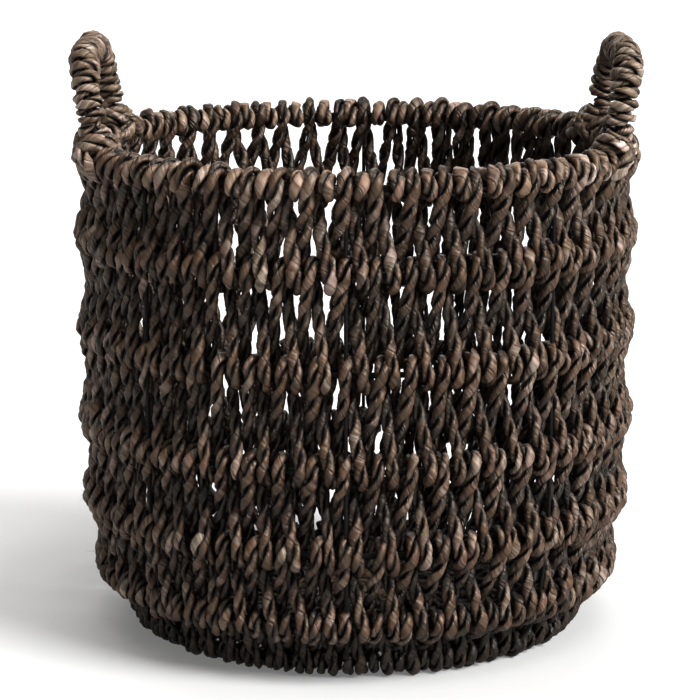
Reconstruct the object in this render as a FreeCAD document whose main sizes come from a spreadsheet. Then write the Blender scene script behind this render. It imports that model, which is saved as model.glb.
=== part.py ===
import FreeCAD, Part
import os
import Sketcher

# Round storage basket: an iron wire frame, woven over with thick twisted cord, with two loop handles.
# Origin: centre of the underside, where the basket stands. +Z is up, and the handles are on +X and -X.
# All lengths are in millimetres and all angles in degrees.

UPRIGHT_COUNT = 8
STRAIGHT_BANDS = 3

# closer than this, a number counts as zero and two points as one
ZERO = 1e-9
SAME_POINT = 1e-6

doc = FreeCAD.newDocument("Basket")
sheet = doc.addObject("Spreadsheet::Sheet", "Sizes")

SIZES = {
    # the wall's middle line: upright, then a gentle bend inwards, then a tight heel onto the base ring
    "wall_radius": 210,
    "rim_height": 379,
    "ring_1_height": 316,
    "ring_2_height": 242,
    "ring_3_height": 169,
    "bend_radius": 478,
    "ring_4_angle": 5.4,
    "ring_5_angle": 12.3,
    "heel_radius": 52,
    "heel_angle": 63,
    "base_ring_height": 13,
    "inner_ring_radius": 115,
    "centre_ring_radius": 58,
    # wires
    "rim_wire": 2.5,
    "ring_wire": 2.25,
    "upright_wire": 1.5,
    "handle_wire": 3,
    "wire_gap": 0.25,
    "first_upright_angle": -2,
    # half the thickness of the weave over a ring and half way between two rings
    "bulge": 14,
    "waist": 7.5,
    "base_bulge": 11,
    "rest_width": 9,
    "heel_cover": 10,
    "foot_rounding": 1,
    "rim_rise": 13.5,
    # handles and the lashings round their feet
    "handle_span": 156,
    "handle_rise": 78,
    "handle_corner": 42,
    "handle_lean": 10.5,
    "handle_thickness": 22,
    "handle_start": 3.4,
    "lashing_start": 5,
    "lashing_top": 27,
    "lashing_foot_radius": 14.5,
    "lashing_top_radius": 12,
    "lashing_half_width": 15,
}

for row, (alias, size) in enumerate(SIZES.items(), start=1):
    sheet.set(f"A{row}", alias.replace("_", " "))
    sheet.set(f"B{row}", str(size))
    sheet.setAlias(f"B{row}", alias)
doc.recompute()


def cell(alias):
    """The expression that reads one size of the sheet."""
    return f"Sizes.{alias}"


def value(expression):
    """The number that an expression gives now."""
    number = sheet.evalExpression(expression)
    return float(getattr(number, "Value", number))


# ---------------------------------------------------------------- the wall's middle line, as expressions

RIM = (cell("wall_radius"), cell("rim_height"))


def heel_centre():
    """The centre of the tight heel, found from the last ring of the wall."""
    radius, height = ring_5()
    return (
        f"({radius} - {cell('heel_radius')} * cos({cell('ring_5_angle')}))",
        f"({height} + {cell('heel_radius')} * sin({cell('ring_5_angle')}))",
    )


def ring_5():
    """Where the gentle bend ends and the heel starts."""
    radius = f"({cell('wall_radius')} - {cell('bend_radius')} * (1 - cos({cell('ring_5_angle')})))"
    drop = f"(sin({cell('heel_angle')}) - sin({cell('ring_5_angle')}))"
    return radius, f"({cell('base_ring_height')} + {cell('heel_radius')} * {drop})"


def bend_centre():
    """The centre of the gentle bend, level with its upper end."""
    height = f"({ring_5()[1]} + {cell('bend_radius')} * sin({cell('ring_5_angle')}))"
    return f"({cell('wall_radius')} - {cell('bend_radius')})", height


def on_arc(centre, radius, angle, offset="0"):
    """The point of an arc that lies `angle` below its centre's level, moved outwards by `offset`."""
    return (
        f"({centre[0]} + ({radius} + {offset}) * cos({angle}))",
        f"({centre[1]} - ({radius} + {offset}) * sin({angle}))",
    )


def on_bend(angle, offset="0"):
    """A point of the gentle bend."""
    return on_arc(bend_centre(), cell("bend_radius"), angle, offset)


def on_heel(angle, offset="0"):
    """A point of the heel."""
    return on_arc(heel_centre(), cell("heel_radius"), angle, offset)


BASE_RING = on_heel(cell("heel_angle"))
STRAIGHT_RINGS = [(cell("wall_radius"), cell(f"ring_{n}_height")) for n in range(1, STRAIGHT_BANDS + 1)]
WALL_RINGS = [*STRAIGHT_RINGS, on_bend(cell("ring_4_angle")), ring_5()]
INNER_RING = (cell("inner_ring_radius"), cell("base_ring_height"))
CENTRE_RING = (cell("centre_ring_radius"), cell("base_ring_height"))

# ---------------------------------------------------------------- sketch helpers


def sketch_on(body, plane_role, name):
    """A sketch on one of its own body's origin planes."""
    plane = next(feature for feature in body.Origin.OriginFeatures if feature.Role == plane_role)
    sketch = body.newObject("Sketcher::SketchObject", name)
    sketch.AttachmentSupport = [(plane, "")]
    sketch.MapMode = "FlatFace"
    return sketch


def fix_point(sketch, geometry, position, place):
    """Ties a point of the sketch to a place given as two expressions."""
    axes = (("DistanceX", place[0], -2), ("DistanceY", place[1], -1))
    for kind, expression, axis in axes:
        number = value(expression)
        if abs(number) < ZERO:
            sketch.addConstraint(Sketcher.Constraint("PointOnObject", geometry, position, axis))
            continue
        index = sketch.addConstraint(Sketcher.Constraint(kind, -1, 1, geometry, position, number))
        sketch.setExpression(f"Constraints[{index}]", expression)


def draw(sketch, corners, closed=True):
    """Draws an outline. Each corner is (place, via): the edge that leaves it is straight, or an arc through via."""
    spots = [FreeCAD.Vector(value(place[0]), value(place[1]), 0) for place, _ in corners]
    edge_count = len(corners) if closed else len(corners) - 1
    ends = []
    for number in range(edge_count):
        start, finish = spots[number], spots[(number + 1) % len(spots)]
        via = corners[number][1]
        if via is None:
            geometry = sketch.addGeometry(Part.LineSegment(start, finish), False)
            ends.append((geometry, 1, 2))
            continue
        middle = FreeCAD.Vector(value(via[0]), value(via[1]), 0)
        geometry = sketch.addGeometry(Part.Arc(start, middle, finish), False)
        forwards = sketch.getPoint(geometry, 1).distanceToPoint(start) < SAME_POINT
        ends.append((geometry, 1, 2) if forwards else (geometry, 2, 1))
        marker = sketch.addGeometry(Part.Point(middle), True)
        fix_point(sketch, marker, 1, via)
        sketch.addConstraint(Sketcher.Constraint("PointOnObject", marker, 1, geometry))
    for number, (geometry, first, last) in enumerate(ends):
        fix_point(sketch, geometry, first, corners[number][0])
        following = (number + 1) % len(ends)
        if closed or following:
            other, other_first, _ = ends[following]
            sketch.addConstraint(Sketcher.Constraint("Coincident", geometry, last, other, other_first))
    if not closed:
        geometry, _, last = ends[-1]
        fix_point(sketch, geometry, last, corners[-1][0])


def draw_circle(sketch, place, radius):
    """Draws a circle whose centre and radius are expressions."""
    centre = FreeCAD.Vector(value(place[0]), value(place[1]), 0)
    circle = Part.Circle(centre, FreeCAD.Vector(0, 0, 1), value(radius))
    geometry = sketch.addGeometry(circle, False)
    fix_point(sketch, geometry, 3, place)
    index = sketch.addConstraint(Sketcher.Constraint("Radius", geometry, value(radius)))
    sketch.setExpression(f"Constraints[{index}]", radius)


def turned(body, corners, channels, angle=None):
    """Turns an outline about the basket's axis, then cuts the channels that its ring wires lie in."""
    outline = sketch_on(body, "XZ_Plane", "Outline")
    draw(outline, corners)
    solid = body.newObject("PartDesign::Revolution", "Turned")
    solid.Profile = outline
    solid.ReferenceAxis = (outline, ["V_Axis"])
    solid.Angle = 360
    if angle:
        solid.Midplane = True
        solid.setExpression("Angle", angle)
    section = sketch_on(body, "XZ_Plane", "Channels")
    for place, wire in channels:
        draw_circle(section, place, f"{wire} + {cell('wire_gap')}")
    groove = body.newObject("PartDesign::Groove", "RingChannels")
    groove.Profile = section
    groove.ReferenceAxis = (section, ["V_Axis"])
    groove.Angle = 360
    return body


def piped(body, path, level, rings):
    """Sweeps one or two circles, drawn at the path's first point, along a path that starts upright."""
    route = sketch_on(body, path[0], "Route")
    draw(route, path[1], closed=False)
    section = sketch_on(body, "XY_Plane", "Section")
    section.setExpression("AttachmentOffset.Base.z", level)
    for place, radius in rings:
        draw_circle(section, place, radius)
    pipe = body.newObject("PartDesign::AdditivePipe", "Pipe")
    pipe.Profile = section
    pipe.Spine = route
    return body


def new_body(label):
    """An empty body."""
    body = doc.addObject("PartDesign::Body", label)
    body.Label = label
    return body


def cut(label, base, tool):
    """What is left of one object after another is taken out of it."""
    result = doc.addObject("Part::Cut", label)
    result.Label = label
    result.Base = base
    result.Tool = tool
    return result


def group(label, members):
    """Several objects taken as one, to cut with."""
    compound = doc.addObject("Part::Compound", label)
    compound.Links = members
    return compound


def turn_about_axis(angle):
    """A turn round the basket's own axis."""
    return FreeCAD.Placement(FreeCAD.Vector(), FreeCAD.Rotation(FreeCAD.Vector(0, 0, 1), angle))


# ---------------------------------------------------------------- wire frame


def wire_ring(label, place, wire):
    """A closed ring of round wire, with its centreline at a place of the wall's section."""
    ring = doc.addObject("Part::Torus", label)
    ring.Label = label
    ring.setExpression("Radius1", place[0])
    ring.setExpression("Radius2", wire)
    ring.setExpression("Placement.Base.z", place[1])
    return ring


def wire_rings():
    """All the rings, from the rim down and then in across the base."""
    rings = [wire_ring("rim_wire_ring", RIM, cell("rim_wire"))]
    for number, place in enumerate(WALL_RINGS, start=1):
        rings.append(wire_ring(f"wall_wire_ring_{number}", place, cell("ring_wire")))
    rings.append(wire_ring("base_wire_ring", BASE_RING, cell("ring_wire")))
    rings.append(wire_ring("base_inner_wire_ring", INNER_RING, cell("ring_wire")))
    rings.append(wire_ring("base_centre_wire_ring", CENTRE_RING, cell("ring_wire")))
    return rings


def upright(label, radius, angle):
    """A wire down the outside of the rings: straight, round the bend and round the heel to the base ring."""
    offset = f"({cell('rim_wire')} + {cell('upright_wire')})"
    outside = f"({cell('wall_radius')} + {offset})"
    bend_end, heel_end = cell("ring_5_angle"), cell("heel_angle")
    corners = [
        ((outside, cell("rim_height")), None),
        ((outside, bend_centre()[1]), on_bend(f"({bend_end} / 2)", offset)),
        (on_bend(bend_end, offset), on_heel(f"(({bend_end} + {heel_end}) / 2)", offset)),
        (on_heel(heel_end, offset), None),
    ]
    body = piped(new_body(label), ("XZ_Plane", corners), cell("rim_height"), [((outside, "0"), radius)])
    body.Placement = turn_about_axis(angle)
    return body


def spoke(label, radius, angle):
    """A straight wire that lies on the three rings of the base."""
    wire = doc.addObject("Part::Cylinder", label)
    wire.Label = label
    end_gap = cell("wire_gap")
    wire.setExpression("Radius", radius)
    wire.setExpression("Height", f"{BASE_RING[0]} - {cell('centre_ring_radius')} - 2 * {end_gap}")
    level = value(f"{cell('base_ring_height')} + {cell('ring_wire')} + {cell('upright_wire')}")
    start = FreeCAD.Vector(value(f"{cell('centre_ring_radius')} + {end_gap}"), 0, level)
    along_x = FreeCAD.Rotation(FreeCAD.Vector(0, 1, 0), 90)
    wire.Placement = turn_about_axis(angle).multiply(FreeCAD.Placement(start, along_x))
    return wire


def round_the_base(maker, label, radius):
    """The same wire at equal steps round the basket's axis, the first one nearly on +X."""
    first, step = value(cell("first_upright_angle")), 360 / UPRIGHT_COUNT
    return [maker(f"{label}_{number + 1}", radius, first + number * step) for number in range(UPRIGHT_COUNT)]


# ---------------------------------------------------------------- handles


def leg_azimuth():
    """The angle round the rim from the X axis to a handle's foot."""
    return f"asin({cell('handle_span')} / 2 / {cell('wall_radius')})"


def handle_placement(side_angle):
    """Stands a handle on the rim ring with its top leaning outwards."""
    foot = FreeCAD.Vector(value(f"{cell('wall_radius')} * cos({leg_azimuth()})"), 0, value(cell("rim_height")))
    lean = FreeCAD.Rotation(FreeCAD.Vector(0, 1, 0), value(cell("handle_lean")))
    return turn_about_axis(side_angle).multiply(FreeCAD.Placement(foot, lean))


def handle_loop(label, start, radii, side_angle):
    """A loop of even height with rounded corners, from one foot to the other, `start` above the rim ring."""
    half = f"({cell('handle_span')} / 2)"
    corner = cell("handle_corner")
    shoulder = f"({cell('handle_rise')} - {corner})"
    flat = f"({half} - {corner})"
    diagonal_y = f"({flat} + {corner} * cos(45))"
    diagonal_z = f"({shoulder} + {corner} * sin(45))"
    corners = [
        ((f"-{half}", start), None),
        ((f"-{half}", shoulder), (f"-{diagonal_y}", diagonal_z)),
        ((f"-{flat}", cell("handle_rise")), None),
        ((flat, cell("handle_rise")), (diagonal_y, diagonal_z)),
        ((half, shoulder), None),
        ((half, start), None),
    ]
    rings = [(("0", f"-{half}"), radius) for radius in radii]
    body = piped(new_body(label), ("YZ_Plane", corners), start, rings)
    body.Placement = handle_placement(side_angle)
    return body


def handle(side, side_angle):
    """The wire core of a handle and the cord wrapped round it."""
    core = handle_loop(f"handle_core_{side}", cell("handle_start"), [cell("handle_wire")], side_angle)
    bore = f"({cell('handle_wire')} + {cell('wire_gap')})"
    radii = [f"({cell('handle_thickness')} / 2)", bore]
    wrap = handle_loop(f"handle_wrap_{side}", cell("lashing_top"), radii, side_angle)
    return [core, wrap]


def rim_section():
    """The outline of the cord over the rim ring: a rounded cap that ends on the ring's own level."""
    radius, height = RIM
    bulge = cell("bulge")
    return [
        ((f"({radius} + {bulge})", height), (radius, f"({height} + {cell('rim_rise')})")),
        ((f"({radius} - {bulge})", height), None),
    ]


def lashing(side, end, side_angle, direction):
    """The cord that binds one handle foot to the rim: a piece of rim and a tapered collar up the leg."""
    name = f"handle_lashing_{side}_{end}"
    spread = f"(2 * asin({cell('lashing_half_width')} / {cell('wall_radius')}))"
    rim_piece = turned(new_body(f"{name}_rim"), rim_section(), [(RIM, cell("rim_wire"))], spread)
    rim_piece.Placement = turn_about_axis(side_angle + direction * value(leg_azimuth()))
    leg = FreeCAD.Vector(0, direction * value(cell("handle_span")) / 2, value(cell("lashing_start")))
    collar = doc.addObject("Part::Cone", f"{name}_collar")
    collar.setExpression("Radius1", cell("lashing_foot_radius"))
    collar.setExpression("Radius2", cell("lashing_top_radius"))
    collar.setExpression("Height", f"{cell('lashing_top')} - {cell('lashing_start')}")
    collar.Placement = handle_placement(side_angle).multiply(FreeCAD.Placement(leg, FreeCAD.Rotation()))
    whole = doc.addObject("Part::Fuse", f"{name}_whole")
    whole.Base = rim_piece
    whole.Tool = collar
    bore = doc.addObject("Part::Cylinder", f"{name}_bore")
    bore.setExpression("Radius", f"{cell('handle_wire')} + {cell('wire_gap')}")
    bore.setExpression("Height", cell("lashing_top"))
    leg.z = 0
    bore.Placement = handle_placement(side_angle).multiply(FreeCAD.Placement(leg, FreeCAD.Rotation()))
    return cut(name, whole, bore)


# ---------------------------------------------------------------- cord woven and wrapped on the frame


def rim_wraps():
    """The cord over the rim, in four runs between the lashings."""
    gap = f"asin({cell('lashing_half_width')} / {cell('wall_radius')})"
    short_run = f"(2 * ({leg_azimuth()} - {gap}))"
    long_run = f"(180 deg - 2 * ({leg_azimuth()} + {gap}))"
    runs = [("right", 0, short_run), ("back", 90, long_run), ("left", 180, short_run), ("front", 270, long_run)]
    wraps = []
    for side, middle, spread in runs:
        wrap = turned(new_body(f"rim_wrap_{side}"), rim_section(), [(RIM, cell("rim_wire"))], spread)
        wrap.Placement = turn_about_axis(middle)
        wraps.append(wrap)
    return wraps


def moved(place, sideways):
    """A place moved along the radius."""
    return f"({place[0]} + {sideways})", place[1]


def wall_band(number, upper, lower, middle):
    """Figure-of-eight weave between two rings: full over each ring and narrow half way."""
    bulge, waist = cell("bulge"), cell("waist")
    corners = [
        (moved(upper, bulge), moved(middle, waist)),
        (moved(lower, bulge), None),
        (moved(lower, f"-{bulge}"), moved(middle, f"-{waist}")),
        (moved(upper, f"-{bulge}"), None),
    ]
    upper_wire = cell("rim_wire") if number == 1 else cell("ring_wire")
    channels = [(upper, upper_wire), (lower, cell("ring_wire"))]
    return turned(new_body(f"wall_weave_{number}_solid"), corners, channels)


def heel_band(number):
    """The last band of the wall, which turns under and rests on the floor below the base ring."""
    bulge, height = cell("bulge"), cell("base_ring_height")
    side = f"({BASE_RING[0]} + {height})"
    foot = f"({BASE_RING[0]} + {cell('rest_width')})"
    half_way = f"(({cell('ring_5_angle')} + {cell('heel_angle')}) / 2)"
    corners = [
        (moved(ring_5(), bulge), on_heel(half_way, cell("heel_cover"))),
        ((side, height), (f"({side} - {cell('foot_rounding')})", f"({height} / 2)")),
        ((foot, "0"), None),
        ((BASE_RING[0], "0"), None),
        ((BASE_RING[0], f"(2 * {height})"), None),
        (moved(ring_5(), f"-{bulge}"), None),
    ]
    channels = [(ring_5(), cell("ring_wire")), (BASE_RING, cell("ring_wire"))]
    return turned(new_body(f"wall_weave_{number}_solid"), corners, channels)


def wall_bands():
    """The six bands of the wall, from the rim down."""
    rings = [RIM, *WALL_RINGS]
    bands = []
    for number in range(1, len(rings)):
        upper, lower = rings[number - 1], rings[number]
        middle = (f"(({upper[0]} + {lower[0]}) / 2)", f"(({upper[1]} + {lower[1]}) / 2)")
        bands.append(wall_band(number, upper, lower, middle))
    bands.append(heel_band(len(rings)))
    return bands


def base_weave(label, outer, inner, outer_top, outer_foot):
    """Flat weave between two rings of the base, on the rings' own level."""
    height, bulge, waist = cell("base_ring_height"), cell("base_bulge"), cell("waist")
    middle = f"(({outer[0]} + {inner[0]}) / 2)"
    corners = [
        *outer_foot,
        ((inner[0], f"({height} - {bulge})"), None),
        ((inner[0], f"({height} + {bulge})"), (middle, f"({height} + {waist})")),
        ((outer[0], outer_top), None),
    ]
    return turned(new_body(label), corners, [(outer, cell("ring_wire")), (inner, cell("ring_wire"))])


def base_weaves():
    """The three parts of the base: two flat bands and the disc inside the centre ring."""
    height, bulge, waist = cell("base_ring_height"), cell("base_bulge"), cell("waist")
    low, high = f"({height} - {bulge})", f"({height} + {bulge})"
    middle = f"(({BASE_RING[0]} + {INNER_RING[0]}) / 2)"
    flat_end = f"({BASE_RING[0]} - {cell('rest_width')})"
    foot = [((BASE_RING[0], "0"), None), ((flat_end, "0"), (middle, f"({height} - {waist})"))]
    outer = base_weave("base_weave_outer_solid", BASE_RING, INNER_RING, f"(2 * {height})", foot)
    half_way = f"(({INNER_RING[0]} + {CENTRE_RING[0]}) / 2)"
    foot = [((INNER_RING[0], low), (half_way, f"({height} - {waist})"))]
    inner = base_weave("base_weave_inner_solid", INNER_RING, CENTRE_RING, high, foot)
    corners = [
        (("0", low), None),
        ((CENTRE_RING[0], low), None),
        ((CENTRE_RING[0], high), None),
        (("0", high), None),
    ]
    centre = turned(new_body("base_weave_centre"), corners, [(CENTRE_RING, cell("ring_wire"))])
    return outer, inner, centre


# ---------------------------------------------------------------- assembly

upright_radius = cell("upright_wire")
channel_radius = f"({cell('upright_wire')} + {cell('wire_gap')})"

subparts = wire_rings()
subparts += round_the_base(upright, "upright_wire", upright_radius)
subparts += round_the_base(spoke, "base_spoke", upright_radius)

upright_channels = group("upright_channels", round_the_base(upright, "upright_channel", channel_radius))
spoke_channels = group("spoke_channels", round_the_base(spoke, "spoke_channel", channel_radius))

for number, band in enumerate(wall_bands(), start=1):
    subparts.append(cut(f"wall_weave_{number}", band, upright_channels))

base_outer, base_inner, base_centre = base_weaves()
subparts.append(cut("base_weave_outer", base_outer, spoke_channels))
subparts.append(cut("base_weave_inner", base_inner, spoke_channels))
subparts.append(base_centre)

subparts += rim_wraps()
for side, side_angle in (("right", 0), ("left", 180)):
    subparts += handle(side, side_angle)
    front = -1 if side == "right" else 1
    subparts.append(lashing(side, "front", side_angle, front))
    subparts.append(lashing(side, "back", side_angle, -front))

doc.recompute()

for thing in doc.Objects:
    if "Invalid" in thing.State or "Error" in thing.State:
        raise RuntimeError(f"{thing.Label} failed: {thing.State}")
for subpart in subparts:
    if subpart.Shape.isNull() or not subpart.Shape.isValid():
        raise RuntimeError(f"{subpart.Label} has no valid shape")

os.makedirs("parts", exist_ok=True)
for subpart in subparts:
    subpart.Shape.exportStep(f"parts/{subpart.Label}.step")
    print(f"{subpart.Label}: {len(subpart.Shape.Solids)} solid(s), {subpart.Shape.Volume / 1000:.1f} cm3")
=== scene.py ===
import math

import bpy
import numpy as np
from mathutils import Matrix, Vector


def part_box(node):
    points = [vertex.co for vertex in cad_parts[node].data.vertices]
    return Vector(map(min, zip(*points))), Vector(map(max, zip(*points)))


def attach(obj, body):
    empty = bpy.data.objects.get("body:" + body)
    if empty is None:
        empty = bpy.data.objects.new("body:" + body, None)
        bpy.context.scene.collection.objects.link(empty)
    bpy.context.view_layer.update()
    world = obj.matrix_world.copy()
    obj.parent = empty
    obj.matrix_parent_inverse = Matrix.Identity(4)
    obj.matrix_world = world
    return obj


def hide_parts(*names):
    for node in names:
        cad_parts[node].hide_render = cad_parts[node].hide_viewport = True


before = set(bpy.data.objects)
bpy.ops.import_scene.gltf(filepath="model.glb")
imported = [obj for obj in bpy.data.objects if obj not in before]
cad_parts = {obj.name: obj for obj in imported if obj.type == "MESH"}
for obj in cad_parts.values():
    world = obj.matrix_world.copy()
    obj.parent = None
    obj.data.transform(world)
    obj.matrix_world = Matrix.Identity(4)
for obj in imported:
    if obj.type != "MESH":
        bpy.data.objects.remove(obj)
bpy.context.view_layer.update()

# Round basket of twisted cord woven on an iron wire frame. All lengths are in metres.
MM = 0.001
TURN = 2 * math.pi

# Cords
CORD = 10.0 * MM              # thickness of the two-ply cord of the wall
BASE_CORD = CORD * 0.9
RIM_CORD = CORD * 1.12        # fuller cord that only wraps the rim
HANDLE_CORD = 9.3 * MM
LEG_CORD = HANDLE_CORD * 1.08 # wound round a handle's leg
TIE_CORD = HANDLE_CORD * 1.1  # crossed loops round its foot
BAND_CORDS = (1.09, 1.0, 0.98, 1.0, 1.0, 0.97)     # cord of each band of the wall, from the rim down
PLIES = 2
PLY_CENTRE = 0.245            # from the cord's centre to a ply's, in cord thicknesses
PLY_DEEP = 0.26               # half a ply's thickness towards the other ply, in the same measure
PLY_WIDE = 0.34               # half its thickness the other way
PLY_FLATTER = 0.13            # how much wider a ply is where it faces out or in
OVAL = 0.08                   # how oval, and how three-cornered, a ply's section is
CORNERED = 0.07
FIBRE_RADIUS = 0.3            # of the round bundle that the fibre's pattern is laid on, in cord thicknesses
# Painted shade: a ply is painted darker towards the valley where it meets the other ply
GROOVE_SHADE_EDGES = (-0.75, 0.2)   # cosine of the angle round a ply where its groove is darkest, and where it ends
END_SECTION = 0.03            # share of its section that a cord keeps at its very ends
LAY_RATIO = 3.8               # length of one full twist of a cord, in cord thicknesses
RIBBON_PITCH = 11 * MM        # how far along a ply its own fibres go round once
STEP = 2.3 * MM               # spacing of the cross-sections along a cord
SIDES = 10                    # points round one ply

# Weave
WALL_TURNS = 56               # figure-of-eight turns round each band of the wall
BASE_TURNS = (56, 30)         # the same in the base, from the outside in
UPRIGHTS = 8
SLACK = 0.9 * MM              # room between a wire and the cord round it
LOOP_SAMPLES = 14
LEG_STEP = 2.2 * MM           # spacing of the points along a leg between two rings
LOOP_SHARE = 0.045            # how far a loop reaches to each side of its middle, in turns
LOWEST = 0.54                 # least height of a cord's centre line, in cord thicknesses
CORD_REACH = 0.48             # from the slack round a wire to its cord's centre line, in cord thicknesses
CENTRE_COILS = 4.6            # turns of the flat spiral in the middle of the base
CENTRE_PITCH = CORD * 0.98
CENTRE_SAMPLES = 700

# Rim: the part of each turn, under the rim wire, in which the cord dips in and moves on to the next gap
RIM_SAMPLES = 40
RIM_MOVE = (0.68, 0.81)
RIM_DIP = sum(RIM_MOVE) / 2
RIM_DIP_SPREAD = 0.065
RIM_DIP_DEPTH = 0.68          # how much nearer the rim wire it comes there
RIM_DIP_THINNER = 0.62        # how much thinner it is pressed there
RIM_PLUMP = 1.1               # how much wider its plies are than the wall's

# Handles
HANDLE_WIRE = 3 * MM          # half the thickness of the core
HANDLE_CORNER = 42 * MM
HANDLE_WRAP_STEP = 9.4 * MM
WRAP_SAMPLES = 28             # points in one turn of a wrap
WRAP_TILT = 0.12              # how far a turn leans along the handle, in parts of its radius
LEG_TILT = 0.2
SUNK_END = (0.45, 0.45)       # a wrap's radius at its ends, in parts, and over how many turns it grows
LASHING_FOOT = 7 * MM         # where the turns round a handle's leg begin, above the rim wire
LASHING_TOP = 27 * MM         # where the handle's own wrap begins
LASHING_OVERLAP = 2 * MM      # how far the leg's turns go on past that
LASHING_SHIFT = 8.5 * MM      # from one crossed loop to the next, along the rim

# Loose fibres
WALL_FRAY = 22 * MM           # spacing of the loose fibres along the cord
RIM_FRAY = 8 * MM
HANDLE_FRAY = 14 * MM
FRAY_LENGTH_MM = (2, 9)
FRAY_RADIUS = 0.16 * MM
FRAY_POINTS = 5
FRAY_SIDES = 3
FRAY_ROOT = 0.42              # from the cord's centre line to a fibre's root, in cord thicknesses
FRAY_CURL = 0.55
FRAY_TAPER = 0.7
FRAY_TONE = (1.2, 0.6)        # mean and spread
FRAY_LOWEST = 0.2 * MM

# Unevenness that wanders along a line: over how many samples, and by how much
THICKNESS_DRIFT = (14, 0.045)
TWIST_DRIFT = (16, 0.28)
DEEP_DRIFT = (4, 0.09)
WIDE_DRIFT = (4, 0.11)
OVAL_DRIFT = (5, 2.5)
CORNER_DRIFT = (3, 2.5)
LONG_TONE_DRIFT = (60, 0.45)
SHORT_TONE_DRIFT = (5, 0.5)
CROWDING_DRIFT = (2, 0.075)
BULGE_DRIFT = (60, 0.5 * MM)
WRAP_PLACE_DRIFT = (60, 0.25)
WRAP_REACH_DRIFT = (22, 0.035)

# Unevenness that differs from ply to ply, or from loop to loop
PLY_TONE = 0.2
LOOP_PLACE = 0.055            # in turns
LOOP_FATNESS = 0.06
LOOP_HEIGHT = 0.2
LEG_BOW = 0.045               # in turns
LEG_SWAY = 0.9 * MM
UPRIGHT_FATNESS = 1.2         # of a loop that also holds an upright wire
UPRIGHT_CALM = 0.3            # how much of the other unevenness is left there
RIM_PLACE = 0.05              # in gaps
RIM_FATNESS = 0.07
RIM_UNEVEN = 1.3              # times the unevenness of the wall's cord
WRAP_UNEVEN = 1.4
LEG_UNEVEN = 1.5
LASHING_PLACE = 0.6 * MM

WEAVE_SEED = 40

# Painted shade on the cord: how brightly it is painted inside each band of the wall, in the base, where its
# legs cross, and near the floor
BAND_INNER_LIGHT = (0.75, 0.42, 0.28, 0.24, 0.24, 0.24)
BASE_INNER_LIGHT = 0.55
BASE_LIGHT = 0.3
CROSSING_LIGHT = 0.62
FOOT_LIGHT = 0.3
FOOT_HEIGHTS = (8 * MM, 55 * MM)     # darkest up to the first, and bright from the second

# Dark, middle and light tone of each cord
WALL_TONES = ((0.016, 0.008, 0.004), (0.092, 0.054, 0.032), (0.315, 0.275, 0.24))
# The rim's and the handles' tones are lighter than the wall's: partly a lighter cord, and partly painted
# light on the top of the basket
RIM_TONES = ((0.024, 0.014, 0.008), (0.195, 0.132, 0.092), (0.46, 0.41, 0.37))
HANDLE_TONES = ((0.034, 0.020, 0.012), (0.160, 0.115, 0.083), (0.50, 0.445, 0.40))

# Grain of the fibre: noise scale across it twice and along it, detail, roughness and distortion
STRANDS = ((1100, 1100, 60), 3, 0.6, 0.0)
RIBBONS = ((260, 260, 20), 1, 0.5, 0.2)
FOLDS = ((105, 105, 12), 0, 0.0, 0.0)
CREASES = ((260, 260, 90), 2, 0.5, 0.5)
PATCHES = ((60, 60, 38), 2, 0.5, 0.0)
FOLD_WIDTH = 0.03             # half the width of a fold's dark line, as a step of the noise

# What the tone follows: the cord's own tone, the ribbons of fibre and the patches
MEAN_TONE = 0.45
TONE_SHARE = 0.17
RIBBON_SHARE = 0.8
PATCH_SHARE = 0.6

# Hues of the patches, and the shades that the tones are multiplied by: painted shade in the creases, the
# folds and the valleys between the plies, and the fibre's own darker and lighter strands
GREENISH = (0.56, 0.57, 0.44)
NEUTRAL = (0.5, 0.5, 0.5)
REDDISH = (0.62, 0.46, 0.44)
CREASE_SHADE = (0.25, 0.24, 0.23)
FOLD_SHADE = (0.10, 0.09, 0.08)
DEEP_GROOVE_SHADE = (0.02, 0.014, 0.01)
GROOVE_EDGE_SHADE = (0.20, 0.168, 0.14)
DARK_STRAND = (0.6, 0.6, 0.6)
BRIGHT_STRAND = (1.15, 1.15, 1.15)
WHITE = (1, 1, 1)
WARM_GLOSS = (1, 0.91, 0.82)

# Studio: direction, strength and spread in degrees of each light
LIGHTS = {
    "key": ((1.02, -0.60, 0.92), 6.9, 30),
    "fill": ((-0.30, -0.90, 0.50), 0.15, 60),
    "back": ((-0.10, 0.90, 0.80), 1.8, 50),
    "top": ((0.15, -0.25, 1.0), 1.5, 40),
}
FLOOR_REACH = 12
FLOOR_GREY = 0.38
# Painted light: the floor's glow keeps its shadow pale, and is weaker under the basket as a painted shadow
# there
FLOOR_GLOW = (0.2, 0.42)      # under the basket, and away from it
GLOW_EDGES = (0.7, 2.4)       # where the glow begins to grow and where it is full, in rim radii
HORIZON = (0.17, 0.24)        # sine of the angle up to which the room is white, and from which it is dim
DIM_ROOM = (0.11, 0.095, 0.078)
GAMMA = 0.8

# Camera, with its place in rim radii from the middle of the rim
LENS = 137.2
CAMERA_AWAY = 10
CAMERA_ABOVE = 1.384
CAMERA_ASIDE = 4.5 * MM       # to the left
CAMERA_DOWN = 12.2            # degrees


# ---------------------------------------------------------------- sizes read from the frame


def ring(node):
    """Radius, height and wire radius of a ring of the frame."""
    low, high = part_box(node)
    wire = (high[2] - low[2]) / 2
    return (high[0] - low[0]) / 2 - wire, (high[2] + low[2]) / 2, wire


WALL_RINGS = [ring("rim_wire_ring")]
WALL_RINGS += [ring(f"wall_wire_ring_{number}") for number in range(1, 6)]
WALL_RINGS += [ring("base_wire_ring")]
INNER_RINGS = [ring("base_inner_wire_ring"), ring("base_centre_wire_ring")]
RIM_RADIUS, RIM_HEIGHT, RIM_WIRE = WALL_RINGS[0]
upright_low, upright_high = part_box("upright_wire_1")
FIRST_UPRIGHT = math.atan2(upright_low[1] + upright_high[1], upright_low[0] + upright_high[0])


# ---------------------------------------------------------------- smooth lines


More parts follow.
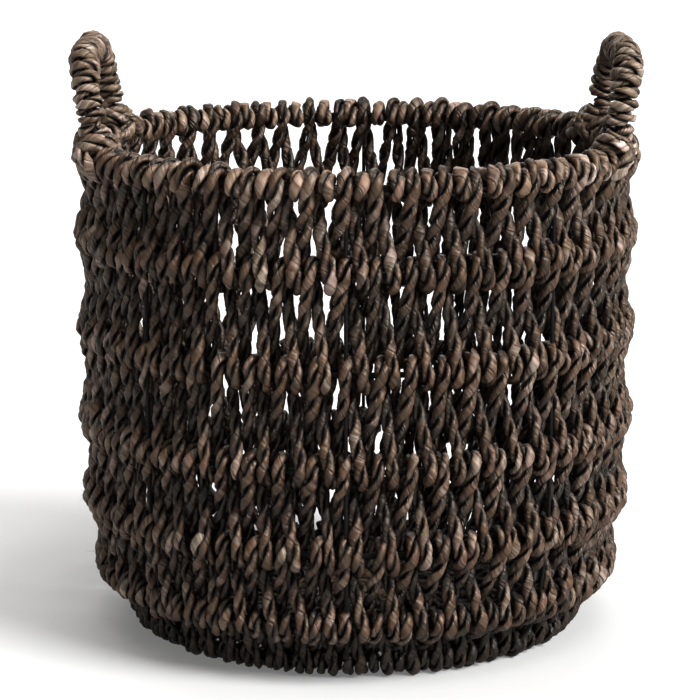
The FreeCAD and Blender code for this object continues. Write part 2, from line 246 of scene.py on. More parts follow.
def drift(rng, count, measure, uneven=1.0):
    """A smooth random line of `count` values. `measure` is over how many of them it wanders, and how far."""
    reach, amount = measure
    noise = rng.normal(size=count + 6 * reach)
    kernel = np.exp(-0.5 * (np.arange(-3 * reach, 3 * reach + 1) / reach) ** 2)
    line = np.convolve(noise, kernel / math.sqrt((kernel ** 2).sum()), mode="valid")
    return amount * uneven * line[:count]


def eased(values, reach):
    """The same line with its corners rounded over `reach` samples each way."""
    kernel = np.hanning(2 * reach + 3)[1:-1]
    padded = np.pad(values, reach, mode="reflect", reflect_type="odd")
    return np.convolve(padded, kernel / kernel.sum(), mode="valid")


def distance_along(points):
    """How far each point of a line is from its start, along the line."""
    gaps = np.linalg.norm(np.diff(points, axis=0), axis=1)
    return np.concatenate([[0], np.cumsum(gaps)])


def at(even, along, vectors):
    """Vectors given at the distances `along`, read at the distances `even` instead."""
    return np.column_stack([np.interp(even, along, vectors[:, k]) for k in range(3)])


def unit(vectors):
    """The same directions with length 1."""
    return vectors / np.linalg.norm(vectors, axis=1)[:, None]


# ---------------------------------------------------------------- cord as twisted plies


def resampled(points, sides, *others):
    """A line of points at even steps along it, with the side direction of each and any other values."""
    along = distance_along(points)
    count = max(4, int(round(along[-1] / STEP)))
    even = np.linspace(0, along[-1], count)
    more = (np.interp(even, along, np.broadcast_to(other, len(points))) for other in others)
    return at(even, along, points), at(even, along, sides), even, *more


def twisted(points, sides, thickness, rng, uneven=1.0, lit=1.0, plump=1.0, squeeze=1.0):
    """The skins of a two-ply cord along a line.

    Gives the vertices and quads, and for each vertex its place in the fibre, its tone and its painted light
    (`lit` on the outside of the cord, painted shade down to 0 in the valley between the plies).
    """
    spots, across, along, lit, squeeze = resampled(points, sides, lit, squeeze)
    count = len(spots)
    forward = unit(np.gradient(spots, axis=0))
    side = unit(across - forward * (across * forward).sum(axis=1)[:, None])
    out = np.cross(side, forward)
    width = thickness * squeeze * (1 + drift(rng, count, THICKNESS_DRIFT, uneven))
    from_end = np.minimum(along, along[-1] - along) / thickness
    width = width * np.sqrt(np.minimum(1, from_end + END_SECTION))
    turn = TURN * along / (LAY_RATIO * thickness) + drift(rng, count, TWIST_DRIFT, uneven)
    turn = turn + rng.uniform(0, TURN)
    around = np.arange(SIDES) * TURN / SIDES
    # Painted shade: each ply is painted darker towards the valley between the plies
    ply_painted_light = np.interp(np.cos(around), GROOVE_SHADE_EDGES, [0, 1])
    skins, faces, fibres, tones, painted_lights = [], [], [], [], []
    for ply in range(PLIES):
        angle = turn + ply * TURN / PLIES
        arm = out * np.cos(angle)[:, None] + side * np.sin(angle)[:, None]
        edge = side * np.cos(angle)[:, None] - out * np.sin(angle)[:, None]
        deep = PLY_DEEP * width * (1 + drift(rng, count, DEEP_DRIFT, uneven))
        flatter = PLY_FLATTER * np.cos(2 * angle)
        wide = PLY_WIDE * plump * width * (1 + drift(rng, count, WIDE_DRIFT, uneven) + flatter)
        centre = spots + arm * (PLY_CENTRE * width)[:, None]
        facets = 1 + OVAL * np.sin(2 * around[None, :] + drift(rng, count, OVAL_DRIFT)[:, None])
        facets = facets + CORNERED * np.sin(3 * around[None, :] + drift(rng, count, CORNER_DRIFT)[:, None])
        rings = (
            centre[:, None, :]
            + arm[:, None, :] * (facets * deep[:, None] * np.cos(around))[:, :, None]
            + edge[:, None, :] * (facets * wide[:, None] * np.sin(around))[:, :, None]
        )
        skins.append(rings.reshape(-1, 3))
        faces.append(tube_faces(count) + ply * count * SIDES)
        fibre = np.empty((count, SIDES, 3))
        fibre[:, :, 0] = FIBRE_RADIUS * thickness * np.cos(around)
        fibre[:, :, 1] = FIBRE_RADIUS * thickness * np.sin(around)
        fibre[:, :, 2] = along[:, None] + rng.uniform(0, 20)
        fibres.append(fibre.reshape(-1, 3))
        tone = drift(rng, count, LONG_TONE_DRIFT) + drift(rng, count, SHORT_TONE_DRIFT)
        tone = tone + rng.normal(0, PLY_TONE)
        tones.append(np.repeat(tone, SIDES))
        painted_lights.append((ply_painted_light[None, :] * lit[:, None]).ravel())
    return tuple(np.concatenate(part) for part in (skins, faces, fibres, tones, painted_lights))


def tube_faces(count):
    """Quads of a closed tube of `count` rings, with its two ends filled."""
    index = np.arange(count * SIDES).reshape(count, SIDES)
    following = np.roll(index, -1, axis=1)
    walls = np.stack([index[:-1], following[:-1], following[1:], index[1:]], axis=2).reshape(-1, 4)
    first = np.array([(0, k + 2, k + 1, k) for k in range(1, SIDES - 2, 2)])
    last = first[:, ::-1] + (count - 1) * SIDES
    return np.concatenate([walls, first, last])


class Cords:
    """Gathers twisted cords and loose fibres into one piece."""

    def __init__(self):
        self.parts = []
        self.size = 0

    def keep(self, skin, faces, fibre, tone, painted_light):
        """Adds one more skin to the piece."""
        self.parts.append((skin, faces + self.size, fibre, tone, painted_light))
        self.size += len(skin)

    def add(self, points, sides, thickness, rng, **more):
        """Adds a cord along a line; `more` is handed on to twisted()."""
        self.keep(*twisted(points, sides, thickness, rng, **more))

    def fray(self, points, thickness, rng, spacing):
        """Adds short loose fibres that stand off a cord."""
        count = int(distance_along(points)[-1] / spacing)
        start = points[rng.integers(0, len(points), count)]
        way = unit(rng.normal(size=(count, 3)))
        curl = unit(np.cross(way, rng.normal(size=(count, 3))))
        other = np.cross(way, curl)
        start = start + way * thickness * FRAY_ROOT
        reach = rng.uniform(*FRAY_LENGTH_MM, count) * MM
        part = np.linspace(0, 1, FRAY_POINTS)
        bent = part[:, None] * way[:, None, :] + FRAY_CURL * (part ** 2)[:, None] * curl[:, None, :]
        line = start[:, None, :] + reach[:, None, None] * bent
        radius = FRAY_RADIUS * (1 - FRAY_TAPER * part)
        corner = np.arange(FRAY_SIDES) * TURN / FRAY_SIDES
        spoke = np.cos(corner)[:, None] * curl[:, None, :] + np.sin(corner)[:, None] * other[:, None, :]
        skin = line[:, :, None, :] + radius[:, None, None] * spoke[:, None, :, :]
        index = np.arange(skin.size // 3).reshape(skin.shape[:3])
        following = np.roll(index, -1, axis=2)
        quads = [index[:, :-1], following[:, :-1], following[:, 1:], index[:, 1:]]
        faces = np.stack(quads, axis=3).reshape(-1, 4)
        skin = skin.reshape(-1, 3)
        skin[:, 2] = np.maximum(skin[:, 2], FRAY_LOWEST)
        tone = np.repeat(rng.normal(*FRAY_TONE, count), FRAY_POINTS * FRAY_SIDES)
        self.keep(skin, faces, skin.copy(), tone, np.ones(len(skin)))

    def piece(self, name, material):
        """The mesh object of everything gathered."""
        skin, faces, fibre, tone, painted_light = (np.concatenate(part) for part in zip(*self.parts))
        mesh = bpy.data.meshes.new(name)
        mesh.vertices.add(len(skin))
        mesh.vertices.foreach_set("co", skin.astype(np.float32).ravel())
        mesh.loops.add(faces.size)
        mesh.loops.foreach_set("vertex_index", faces.astype(np.int32).ravel())
        mesh.polygons.add(len(faces))
        mesh.polygons.foreach_set("loop_start", np.arange(0, faces.size, 4, dtype=np.int32))
        mesh.polygons.foreach_set("use_smooth", np.ones(len(faces), dtype=bool))
        mesh.update(calc_edges=True)
        place = mesh.attributes.new("fibre", "FLOAT_VECTOR", "POINT")
        place.data.foreach_set("vector", fibre.astype(np.float32).ravel())
        for key, values in (("tone", tone), ("painted_light", painted_light)):
            attribute = mesh.attributes.new(key, "FLOAT", "POINT")
            attribute.data.foreach_set("value", values.astype(np.float32))
        mesh.materials.append(material)
        obj = bpy.data.objects.new(name, mesh)
        bpy.context.collection.objects.link(obj)
        return obj


# ---------------------------------------------------------------- wall and base


def round_axis(angle, radius, height):
    """Points on circles round the basket's axis, and the direction along the circle at each."""
    points = np.column_stack([radius * np.cos(angle), radius * np.sin(angle), height])
    sides = np.column_stack([-np.sin(angle), np.cos(angle), np.zeros_like(angle)])
    return points, sides


def loop_places(turns, rng, uneven):
    """Where each loop of a band sits, in turns, and how fat it is: two loops a turn, one on each ring."""
    crowding = drift(rng, turns, CROWDING_DRIFT, uneven)
    places = []
    for turn in range(turns):
        for half in (0, 1):
            near_upright = (turn % (turns / UPRIGHTS)) == 0 and half == 0
            calm = UPRIGHT_CALM if near_upright else uneven
            centre = turn + half / 2 + (rng.normal(0, LOOP_PLACE) + crowding[turn]) * calm
            fatter = UPRIGHT_FATNESS if near_upright else 1 + abs(rng.normal(0, LOOP_FATNESS)) * calm
            places.append((centre, fatter))
    places.append((turns, 1))
    return places


def figure_of_eight(upper, lower, turns, rng, thickness, outward=1, uneven=1.0, inner_light=BASE_INNER_LIGHT):
    """One cord in figure-of-eight turns between two rings.

    In the section through the wall it is a crossed belt: over the upper ring, down to the far side of the
    lower one, under that, and back. Each leg moves on by half a turn, so the legs slant one way, then the
    other.
    """
    (r0, z0, wire0), (r1, z1, wire1) = upper, lower
    span = math.hypot(r1 - r0, z1 - z0)
    down = np.array([(r1 - r0) / span, (z1 - z0) / span])
    normal = outward * np.array([-down[1], down[0]])
    loop_radius = (wire0 + wire1) / 2 + SLACK + thickness * CORD_REACH
    tilt = math.asin(2 * loop_radius / span)
    start_side = loop_radius * math.cos(tilt)
    start_depth = loop_radius * math.sin(tilt)
    bend = np.linspace(-math.pi - tilt, tilt, LOOP_SAMPLES, endpoint=False)
    ease = np.linspace(0, 1, max(10, int(span / LEG_STEP)), endpoint=False)
    hump = np.sin(math.pi * ease)
    places = loop_places(turns, rng, uneven)
    path_side, path_depth, path_turn = [], [], []
    for number in range(2 * turns):
        centre, fatter = places[number]
        following = places[number + 1][0]
        reach = loop_radius * fatter
        loop_side = reach * np.cos(bend)
        loop_depth = reach * np.sin(bend) * (1 + abs(rng.normal(0, LOOP_HEIGHT)) * uneven)
        bow = rng.normal(0, LEG_BOW) * uneven
        leg_side = start_side * (1 - 2 * ease) + rng.normal(0, LEG_SWAY) * uneven * hump
        leg_depth = start_depth + (span - 2 * start_depth) * ease
        on_lower = number % 2 == 1
        path_side += [loop_side, leg_side]
        path_depth += [span - loop_depth, span - leg_depth] if on_lower else [loop_depth, leg_depth]
        path_turn.append(np.linspace(centre - LOOP_SHARE, centre + LOOP_SHARE, LOOP_SAMPLES, endpoint=False))
        path_turn.append(centre + LOOP_SHARE + (following - centre - 2 * LOOP_SHARE) * ease + bow * hump)
    side = np.concatenate(path_side)
    side = side + drift(rng, len(side), BULGE_DRIFT, uneven)
    depth = np.concatenate(path_depth)
    angle = FIRST_UPRIGHT - eased(np.concatenate(path_turn), 5) / turns * TURN
    radius = r0 + down[0] * depth + normal[0] * side
    height = np.maximum(z0 + down[1] * depth + normal[1] * side, LOWEST * thickness)
    points, sides = round_axis(angle, radius, height)
    # Painted shade: the cord is painted darker where its legs cross in the middle of the wall, on the inside
    # of the wall, and near the floor
    off_crossing = np.clip(np.abs(side) / loop_radius, 0, 1)
    lit = CROSSING_LIGHT + (1 - CROSSING_LIGHT) * off_crossing ** 2 * (3 - 2 * off_crossing)
    lit = lit * np.where(side < 0, inner_light, 1.0)
    lit = lit * np.interp(height, FOOT_HEIGHTS, [FOOT_LIGHT, 1.0])
    return points, sides, lit


def wall_cords(material):
    """The six bands of the wall, one cord each."""
    for number in range(1, len(WALL_RINGS)):
        rng = np.random.default_rng(WEAVE_SEED + number)
        thickness = CORD * BAND_CORDS[number - 1]
        inner_light = BAND_INNER_LIGHT[number - 1]
        rings = WALL_RINGS[number - 1], WALL_RINGS[number]
        points, sides, lit = figure_of_eight(*rings, WALL_TURNS, rng, thickness, inner_light=inner_light)
        cords = Cords()
        cords.add(points, sides, thickness, rng, lit=lit)
        cords.fray(points, thickness, rng, WALL_FRAY)
        piece = cords.piece(f"wall_cord_{number}", material)
        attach(piece, "root")
        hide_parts(f"wall_weave_{number}")


def base_cords(material):
    """The bands of the base, between its rings, and the wound centre."""
    rings = [WALL_RINGS[-1], *INNER_RINGS]
    for number, (name, turns) in enumerate(zip(("outer", "inner"), BASE_TURNS)):
        rng = np.random.default_rng(WEAVE_SEED + 20 + number)
        ends = rings[number], rings[number + 1]
        points, sides, lit = figure_of_eight(*ends, turns, rng, BASE_CORD, outward=-1)
        cords = Cords()
        # Painted shade over the whole outer and inner base bands
        cords.add(points, sides, BASE_CORD, rng, lit=lit * BASE_LIGHT)
        piece = cords.piece(f"base_cord_{name}", material)
        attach(piece, "root")
        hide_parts(f"base_weave_{name}")
    rng = np.random.default_rng(WEAVE_SEED + 30)
    radius, height, wire = INNER_RINGS[1]
    angle = np.linspace(0, CENTRE_COILS * TURN, CENTRE_SAMPLES)
    reach = radius - wire - CORD * 0.5 - angle / TURN * CENTRE_PITCH
    points = round_axis(angle, np.maximum(reach, 0.5 * MM), np.full_like(angle, height))[0]
    upwards = np.tile([0.0, 0.0, 1.0], (len(angle), 1))
    cords = Cords()
    cords.add(points, upwards, CORD, rng)
    piece = cords.piece("base_cord_centre", material)
    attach(piece, "root")
    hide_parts("base_weave_centre")


# ---------------------------------------------------------------- rim


def rim_turns(first, last, rng, every):
    """Cord wound round the rim ring between two angles, one turn in each gap between the top band's loops."""
    reach = RIM_WIRE + RIM_CORD * 0.5
    count = max(1, int(round((last - first) / every)))
    bend = np.linspace(0, TURN, RIM_SAMPLES, endpoint=False)
    advance = np.interp(bend / TURN, [0, *RIM_MOVE, 1], [0, 0, 1, 1])
    dip = np.exp(-0.5 * ((bend / TURN - RIM_DIP) / RIM_DIP_SPREAD) ** 2)
    angles, radii, heights = [], [], []
    for turn in range(count):
        wobble = rng.normal(0, RIM_PLACE)
        fatter = 1 + abs(rng.normal(0, RIM_FATNESS))
        angles.append(first + every * (turn + advance + wobble))
        away = reach * fatter * (1 - RIM_DIP_DEPTH * dip)
        radii.append(RIM_RADIUS + away * np.cos(bend))
        heights.append(RIM_HEIGHT + away * np.sin(bend))
    angle, radius, height = (eased(np.concatenate(part), 2) for part in (angles, radii, heights))
    points, sides = round_axis(angle, radius, height)
    return points, sides, np.tile(1 - RIM_DIP_THINNER * dip, count)


def rim_cords(material):
    """The rim's own turns, in the four runs between the handle lashings."""
    every = TURN / WALL_TURNS
    phase = (FIRST_UPRIGHT + every / 2) % every
    for number, side in enumerate(("right", "back", "left", "front")):
        rng = np.random.default_rng(WEAVE_SEED + 40 + number)
        low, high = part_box(f"rim_wrap_{side}")
        middle = number * TURN / 4
        across = (high[1] - low[1], high[0] - low[0])[number % 2]
        outer = RIM_RADIUS + CORD * 1.25
        half = math.asin(min(1, across / 2 / outer))
        first = math.ceil((middle - half - phase) / every) * every + phase
        points, sides, squeeze = rim_turns(first, middle + half, rng, every)
        cords = Cords()
        # Painted shade where the cord dips in under the rim wire
        look = {"uneven": RIM_UNEVEN, "plump": RIM_PLUMP, "squeeze": squeeze, "lit": squeeze ** 2}
        cords.add(points, sides, RIM_CORD, rng, **look)
        cords.fray(points, RIM_CORD, rng, RIM_FRAY)
        piece = cords.piece(f"rim_cord_{side}", material)
        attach(piece, "root")
        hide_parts(f"rim_wrap_{side}")


# ---------------------------------------------------------------- handles


class Handle:
    """The line of one handle's core, worked out from its wire in the frame."""

    def __init__(self, side):
        self.side = side
        self.sign = 1 if side == "right" else -1
        low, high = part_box(f"handle_core_{side}")
        self.half = (high[1] - low[1]) / 2 - HANDLE_WIRE
        top_x = max(abs(low[0]), abs(high[0])) - HANDLE_WIRE
        self.foot_x = math.sqrt(RIM_RADIUS ** 2 - self.half ** 2)
        rise_z = high[2] - HANDLE_WIRE - RIM_HEIGHT
        self.lean = math.atan2(top_x - self.foot_x, rise_z)
        self.rise = math.hypot(top_x - self.foot_x, rise_z)

    def place(self, y, level):
        """Points of the handle's leaning plane, `level` up it from the rim wire."""
        x = self.foot_x + level * math.sin(self.lean)
        z = RIM_HEIGHT + level * math.cos(self.lean)
        return np.column_stack([self.sign * x, self.sign * y, z])

    def normal(self):
        """The direction square to the handle's plane, outwards."""
        return np.array([self.sign * math.cos(self.lean), 0, -math.sin(self.lean)])

    def line(self, start):
        """The core's line from one foot to the other, from `start` above the rim wire."""
        shoulder = self.rise - HANDLE_CORNER
        flat = self.half - HANDLE_CORNER
        bend = np.linspace(0, math.pi / 2, 24)
        rise = np.linspace(start, shoulder, 12)[:-1]
        run = np.linspace(-flat, flat, 16)[1:-1]
        y = np.concatenate([
            np.full_like(rise, -self.half),
            -flat - HANDLE_CORNER * np.cos(bend),
            run,
            flat + HANDLE_CORNER * np.sin(bend),
            np.full_like(rise, self.half),
        ])
        level = np.concatenate([
            rise,
            shoulder + HANDLE_CORNER * np.sin(bend),
            np.full_like(run, self.rise),
            shoulder + HANDLE_CORNER * np.cos(bend),
            rise[::-1],
        ])
        return self.place(y, level)


def wound_round(line, normal, reach, step, rng, tilt):
    """A cord wound round a line: a helix of the given pitch with uneven turns, sunk in at both ends."""
    along = distance_along(line)
    count = int(along[-1] / step * WRAP_SAMPLES)
    even = np.linspace(0, along[-1], count)
    spots = at(even, along, line)
    spots = np.column_stack([eased(spots[:, k], 12) for k in range(3)])
    forward = unit(np.gradient(spots, axis=0))
    across = np.tile(normal, (count, 1))
    binormal = np.cross(forward, across)
    turn = TURN * even / step + drift(rng, count, WRAP_PLACE_DRIFT)
    radius = reach * (1 + drift(rng, count, WRAP_REACH_DRIFT))
    sunk, growing = SUNK_END
    radius = radius * np.interp(np.minimum(even, even[-1] - even) / step, [0, growing], [sunk, 1])
    shift = tilt * reach * np.sin(turn)
    around = across * np.cos(turn)[:, None] + binormal * np.sin(turn)[:, None]
    points = spots + around * radius[:, None] + forward * shift[:, None]
    return points, forward


def smooth_loop(corners, samples=90):
    """A closed smooth line through a few corners."""
    corners = np.asarray(corners)
    count = len(corners)
    place = np.linspace(0, count, samples)
    low = np.floor(place).astype(int)
    part = (place - low)[:, None]
    p0, p1, p2, p3 = (corners[(low + k) % count] for k in (-1, 0, 1, 2))
    return 0.5 * (
        2 * p1 + (p2 - p0) * part + (2 * p0 - 5 * p1 + 4 * p2 - p3) * part ** 2
        + (3 * p1 - p0 - 3 * p2 + p3) * part ** 3
    )


def handle_cords(side, material):
    """The cord wound round one handle, and the lashings of its two feet."""
    handle = Handle(side)
    rng = np.random.default_rng(WEAVE_SEED + 60 + handle.sign)
    reach = HANDLE_WIRE + HANDLE_CORD * 0.5
    line = handle.line(LASHING_TOP)
    points, sides = wound_round(line, handle.normal(), reach, HANDLE_WRAP_STEP, rng, WRAP_TILT)
    cords = Cords()
    cords.add(points, sides, HANDLE_CORD, rng, uneven=WRAP_UNEVEN)
    cords.fray(points, HANDLE_CORD, rng, HANDLE_FRAY)
    piece = cords.piece(f"handle_cord_{side}", material)
    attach(piece, "root")
    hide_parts(f"handle_wrap_{side}")
    for end in ("front", "back"):
        lashing_cords(handle, end, material)


def lashing_route(shift):
    """Corners of a loop that crosses a handle's foot: along the rim, outwards and up from the foot."""
    return [
        (10 * MM + shift, 1 * MM, -11 * MM),
        (9 * MM + shift, 11 * MM, -3 * MM),
        (1 * MM + shift * 0.5, 14 * MM, 8 * MM),
        (-8 * MM, 9 * MM, 17 * MM - shift * 0.4),
        (-11 * MM, -3 * MM, 19 * MM - shift * 0.5),
        (-2 * MM, -12 * MM, 14 * MM - shift * 0.4),
        (8 * MM + shift, -11 * MM, 2 * MM),
    ]


def lashing_cords(handle, end, material):
    """The cord round one handle foot: turns up the leg, and crossed loops that bind the leg to the rim."""
    name = f"{handle.side}_{end}"
    rng = np.random.default_rng(WEAVE_SEED + 80 + 2 * handle.sign + (end == "front"))
    foot_y = -handle.half if end == "front" else handle.half
    levels = np.linspace(LASHING_FOOT, LASHING_TOP + LASHING_OVERLAP, 20)
    leg = handle.place(np.full_like(levels, handle.sign * foot_y), levels)
    reach = HANDLE_WIRE + HANDLE_CORD * 0.62
    points, sides = wound_round(leg, handle.normal(), reach, HANDLE_WRAP_STEP, rng, LEG_TILT)
    cords = Cords()
    cords.add(points, sides, LEG_CORD, rng, uneven=LEG_UNEVEN)
    angle = math.atan2(foot_y, handle.sign * handle.foot_x)
    out = np.array([math.cos(angle), math.sin(angle), 0])
    along = np.array([-math.sin(angle), math.cos(angle), 0])
    foot = out * RIM_RADIUS + np.array([0, 0, RIM_HEIGHT])
    lean = handle.sign * math.sin(handle.lean)
    for flip in (1, -1):
        for number in range(2):
            corners = []
            for corner in lashing_route(number * LASHING_SHIFT):
                u, v, w = (value + rng.normal(0, LASHING_PLACE) for value in corner)
                leaning = np.array([lean * max(w, 0), 0, w])
                corners.append(foot + along * (flip * u) + out * v + leaning)
            line = smooth_loop(corners)
            hub = line.mean(axis=0)
            axis = np.cross(line[20] - hub, line[45] - hub)
            sides = np.tile(axis / np.linalg.norm(axis), (len(line), 1))
            cords.add(line, sides, TIE_CORD, rng, uneven=WRAP_UNEVEN)
    piece = cords.piece(f"lashing_cord_{name}", material)
    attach(piece, "root")
    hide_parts(f"handle_lashing_{name}")


# ---------------------------------------------------------------- materials


class Nodes:
    """A short way to write a material's node tree."""

    def __init__(self, name):
        self.material = bpy.data.materials.new(name)
        self.material.use_nodes = True
        self.tree = self.material.node_tree
        self.shader = self.tree.nodes["Principled BSDF"]

    def add(self, kind, settings=None, **inputs):
        """A node of a kind, with its settings and its inputs by name."""
        node = self.tree.nodes.new(kind)
        for key, setting in (settings or {}).items():
            setattr(node, key, setting)
        for key, source in inputs.items():
            self.feed(node.inputs[key.replace("_", " ")], source)
        return node

    def feed(self, socket, source):
        """Links another node's output to an input, or sets the input's value."""
        if isinstance(source, bpy.types.NodeSocket):
            self.tree.links.new(source, socket)
        else:
            socket.default_value = source

    def attribute(self, name, output):
        """A value stored on the mesh's points."""
        return self.add("ShaderNodeAttribute", {"attribute_name": name}).outputs[output]

    def maths(self, operation, first, second=0.0, third=0.0):
        """One step of arithmetic."""
        node = self.add("ShaderNodeMath", {"operation": operation})
        for socket, source in zip(node.inputs, (first, second, third)):
            self.feed(socket, source)
        return node.outputs[0]

    def ramp(self, value, stops):
        """A colour by value, from (place, colour) pairs."""
        node = self.add("ShaderNodeValToRGB", Fac=value)
        elements = node.color_ramp.elements
        while len(elements) < len(stops):
            elements.new(0.5)
        for element, (place, colour) in zip(elements, stops):
            element.position = place
            element.color = (*colour, 1)
        return node.outputs["Color"]

    def mix(self, share, first, second, blend="MIX"):
        """Two colours, mixed or blended by a share."""
        node = self.add("ShaderNodeMix", {"data_type": "RGBA", "blend_type": blend})
        self.feed(node.inputs["Factor"], share)
        self.feed(node.inputs[6], first)
        self.feed(node.inputs[7], second)
        return node.outputs[2]


def cord_material(name, tones):
    """Dyed plant fibre: long fibres that wind along each ply, folds and creases, and tones that change, with
    painted shade in the folds, the creases and wherever the mesh's painted light is low.
    """
    nodes = Nodes(name)
    straight = nodes.attribute("fibre", "Vector")
    along = nodes.add("ShaderNodeSeparateXYZ", Vector=straight).outputs["Z"]
    spin = nodes.maths("MULTIPLY", along, TURN / RIBBON_PITCH)
    about_ply = {"rotation_type": "Z_AXIS"}
    fibre = nodes.add("ShaderNodeVectorRotate", about_ply, Vector=straight, Angle=spin).outputs[0]
    tone = nodes.attribute("tone", "Fac")

    def grain(scale, detail, rough, distort):
        """Noise that is drawn out along the fibre."""
        stretch = nodes.add("ShaderNodeMapping", Vector=fibre, Scale=scale).outputs[0]
        noise = nodes.add("ShaderNodeTexNoise", Vector=stretch, Scale=1.0, Detail=detail, Roughness=rough)
        noise.inputs["Distortion"].default_value = distort
        return noise.outputs["Fac"]

    strands = grain(*STRANDS)
    ribbons = grain(*RIBBONS)
    folds = grain(*FOLDS)
    creases = grain(*CREASES)
    patches = grain(*PATCHES)
    painted_light = nodes.attribute("painted_light", "Fac")

    # A fold is a thin line where its noise passes through the middle value: 0 on the line, 1 away from it.
    off_fold = nodes.maths("ABSOLUTE", nodes.maths("SUBTRACT", folds, 0.5))
    fold_span = nodes.add("ShaderNodeMapRange", Value=off_fold)
    fold_span.inputs["From Max"].default_value = FOLD_WIDTH
    fold_lines = fold_span.outputs[0]

    shade = nodes.maths("MULTIPLY_ADD", tone, TONE_SHARE, MEAN_TONE)
    shade = nodes.maths("ADD", shade, nodes.maths("MULTIPLY_ADD", ribbons, RIBBON_SHARE, -RIBBON_SHARE / 2))
    shade = nodes.maths("ADD", shade, nodes.maths("MULTIPLY_ADD", patches, PATCH_SHARE, -PATCH_SHARE / 2))
    colour = nodes.ramp(shade, list(zip((0.1, 0.5, 0.95), tones)))
    hue = nodes.ramp(patches, [(0.36, GREENISH), (0.5, NEUTRAL), (0.66, REDDISH)])
    colour = nodes.mix(0.35, colour, hue, "OVERLAY")
    # Painted shade in the creases
    painted_crease_shade = nodes.ramp(creases, [(0.34, CREASE_SHADE), (0.44, WHITE)])
    colour = nodes.mix(0.22, colour, painted_crease_shade, "MULTIPLY")
    thread = nodes.ramp(strands, [(0.3, DARK_STRAND), (0.65, BRIGHT_STRAND)])
    colour = nodes.mix(0.6, colour, thread, "MULTIPLY")
    # Painted shade along the folds
    fold_shade = nodes.ramp(fold_lines, [(0.0, FOLD_SHADE), (0.9, WHITE)])
    colour = nodes.mix(0.85, colour, fold_shade, "MULTIPLY")
    # Painted shade from the mesh's painted light: in the valleys between the plies, on the inside of the
    # wall, where the legs cross, in the base, near the floor and where the rim cord dips
    painted_shade = nodes.ramp(painted_light, [(0.0, DEEP_GROOVE_SHADE), (0.42, GROOVE_EDGE_SHADE), (0.86, WHITE)])
    colour = nodes.mix(1.0, colour, painted_shade, "MULTIPLY")

    height = nodes.maths("ADD", nodes.maths("MULTIPLY", strands, 0.3), nodes.maths("MULTIPLY", ribbons, 1.1))
    height = nodes.maths("ADD", height, nodes.maths("MULTIPLY", fold_lines, 0.4))
    height = nodes.maths("ADD", height, nodes.maths("MULTIPLY", creases, 0.1))
    bump = nodes.add("ShaderNodeBump", Height=height, Strength=1.0, Distance=1.3 * MM)
    shader = nodes.shader
    nodes.feed(shader.inputs["Base Color"], colour)
    nodes.feed(shader.inputs["Roughness"], nodes.maths("MULTIPLY_ADD", strands, 0.3, 0.30))
    nodes.feed(shader.inputs["Normal"], bump.outputs[0])
    shader.inputs["Specular IOR Level"].default_value = 0.62
    shader.inputs["Specular Tint"].default_value = (*WARM_GLOSS, 1)
    return nodes.material


def wire_material():
    """Iron wire with a thin black coat, a little uneven."""
    nodes = Nodes("black_iron_wire")
    place = nodes.add("ShaderNodeTexCoord").outputs["Object"]
    noise = nodes.add("ShaderNodeTexNoise", Vector=place, Scale=420.0, Detail=4.0).outputs["Fac"]
    colour = nodes.ramp(noise, [(0.35, (0.004, 0.004, 0.004)), (0.7, (0.013, 0.012, 0.011))])
    bump = nodes.add("ShaderNodeBump", Height=noise, Strength=0.35, Distance=0.4 * MM)
    shader = nodes.shader
    nodes.feed(shader.inputs["Base Color"], colour)
    nodes.feed(shader.inputs["Roughness"], nodes.maths("MULTIPLY_ADD", noise, 0.3, 0.45))
    nodes.feed(shader.inputs["Normal"], bump.outputs[0])
    shader.inputs["Specular IOR Level"].default_value = 0.15
    return nodes.material


def paint_wires(material):
    """Gives the frame's rings, uprights, spokes and handle cores their finish."""
    for name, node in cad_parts.items():
        if "wire" in name or "spoke" in name or "core" in name:
            if not node.material_slots:
                node.data.materials.append(material)
            for slot in node.material_slots:
                slot.material = material


# ---------------------------------------------------------------- studio


def sun(name, towards, strength, spread):
    """Even light from one direction, as from a large far-off softbox."""
    light = bpy.data.lights.new(name, "SUN")
    light.energy = strength
    light.angle = math.radians(spread)
    obj = bpy.data.objects.new(name, light)
    x, y, z = towards
    obj.rotation_euler = (math.atan2(math.hypot(x, y), z), 0, math.atan2(y, x) + math.pi / 2)
    bpy.context.collection.objects.link(obj)


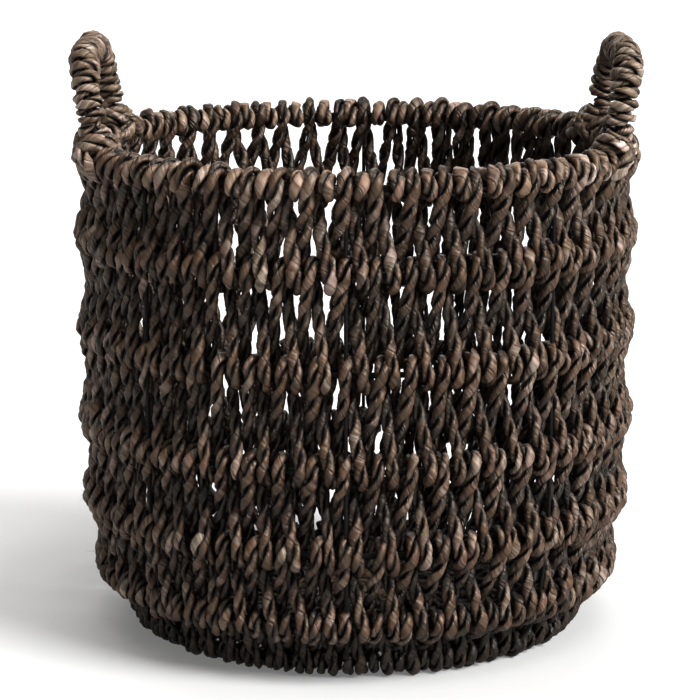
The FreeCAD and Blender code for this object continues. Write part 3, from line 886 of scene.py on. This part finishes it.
def pale_floor():
    """A large pale floor that glows a little, as painted light that keeps its shadow soft, and glows less
    under the basket, as a painted shadow there.
    """
    mesh = bpy.data.meshes.new("floor")
    corners = [(-1, -1), (1, -1), (1, 1), (-1, 1)]
    mesh.from_pydata([(FLOOR_REACH * x, FLOOR_REACH * y, 0) for x, y in corners], [], [(0, 1, 2, 3)])
    floor = bpy.data.objects.new("floor", mesh)
    bpy.context.collection.objects.link(floor)
    nodes = Nodes("white_floor")
    shader = nodes.shader
    shader.inputs["Base Color"].default_value = (FLOOR_GREY, FLOOR_GREY, FLOOR_GREY, 1)
    shader.inputs["Roughness"].default_value = 0.9
    shader.inputs["Emission Color"].default_value = (*WHITE, 1)
    place = nodes.add("ShaderNodeTexCoord").outputs["Object"]
    distance = nodes.add("ShaderNodeVectorMath", {"operation": "LENGTH"})
    nodes.feed(distance.inputs[0], place)
    soft = {"interpolation_type": "SMOOTHSTEP"}
    glow = nodes.add("ShaderNodeMapRange", soft, Value=distance.outputs["Value"])
    glow.inputs["From Min"].default_value = GLOW_EDGES[0] * RIM_RADIUS
    glow.inputs["From Max"].default_value = GLOW_EDGES[1] * RIM_RADIUS
    glow.inputs["To Min"].default_value = FLOOR_GLOW[0]
    glow.inputs["To Max"].default_value = FLOOR_GLOW[1]
    nodes.feed(shader.inputs["Emission Strength"], glow.outputs[0])
    mesh.materials.append(nodes.material)


def room():
    """A room that is white near the horizon, and dim and a little warm higher up."""
    world = bpy.data.worlds.new("room")
    world.use_nodes = True
    tree = world.node_tree
    way = tree.nodes.new("ShaderNodeTexCoord")
    split = tree.nodes.new("ShaderNodeSeparateXYZ")
    rise = tree.nodes.new("ShaderNodeValToRGB")
    tree.links.new(way.outputs["Generated"], split.inputs[0])
    tree.links.new(split.outputs["Z"], rise.inputs["Fac"])
    low, high = rise.color_ramp.elements
    low.position, high.position = HORIZON
    low.color = (*WHITE, 1)
    high.color = (*DIM_ROOM, 1)
    tree.links.new(rise.outputs["Color"], tree.nodes["Background"].inputs["Color"])
    bpy.context.scene.world = world


def studio():
    """The floor, the room and the lights: a soft key from the upper right, and wide ones from other sides."""
    pale_floor()
    room()
    for name, (towards, strength, spread) in LIGHTS.items():
        sun(name, towards, strength, spread)
    bpy.context.scene.view_settings.view_transform = "Standard"
    bpy.context.scene.view_settings.gamma = GAMMA


def camera():
    """A long lens, far off in front of the basket and above it, looking down a little."""
    data = bpy.data.cameras.new("camera")
    data.sensor_width = 36
    data.lens = LENS
    obj = bpy.data.objects.new("camera", data)
    obj.location = (-CAMERA_ASIDE, -CAMERA_AWAY * RIM_RADIUS, RIM_HEIGHT + CAMERA_ABOVE * RIM_RADIUS)
    obj.rotation_euler = (math.radians(90 - CAMERA_DOWN), 0, 0)
    bpy.context.collection.objects.link(obj)
    bpy.context.scene.camera = obj


# ---------------------------------------------------------------- the whole scene

camera()
studio()
wall_cord = cord_material("woven_cord", WALL_TONES)
rim_cord = cord_material("rim_cord", RIM_TONES)
handle_cord = cord_material("handle_cord", HANDLE_TONES)
paint_wires(wire_material())
wall_cords(wall_cord)
base_cords(wall_cord)
rim_cords(rim_cord)
for side in ("right", "left"):
    handle_cords(side, handle_cord)
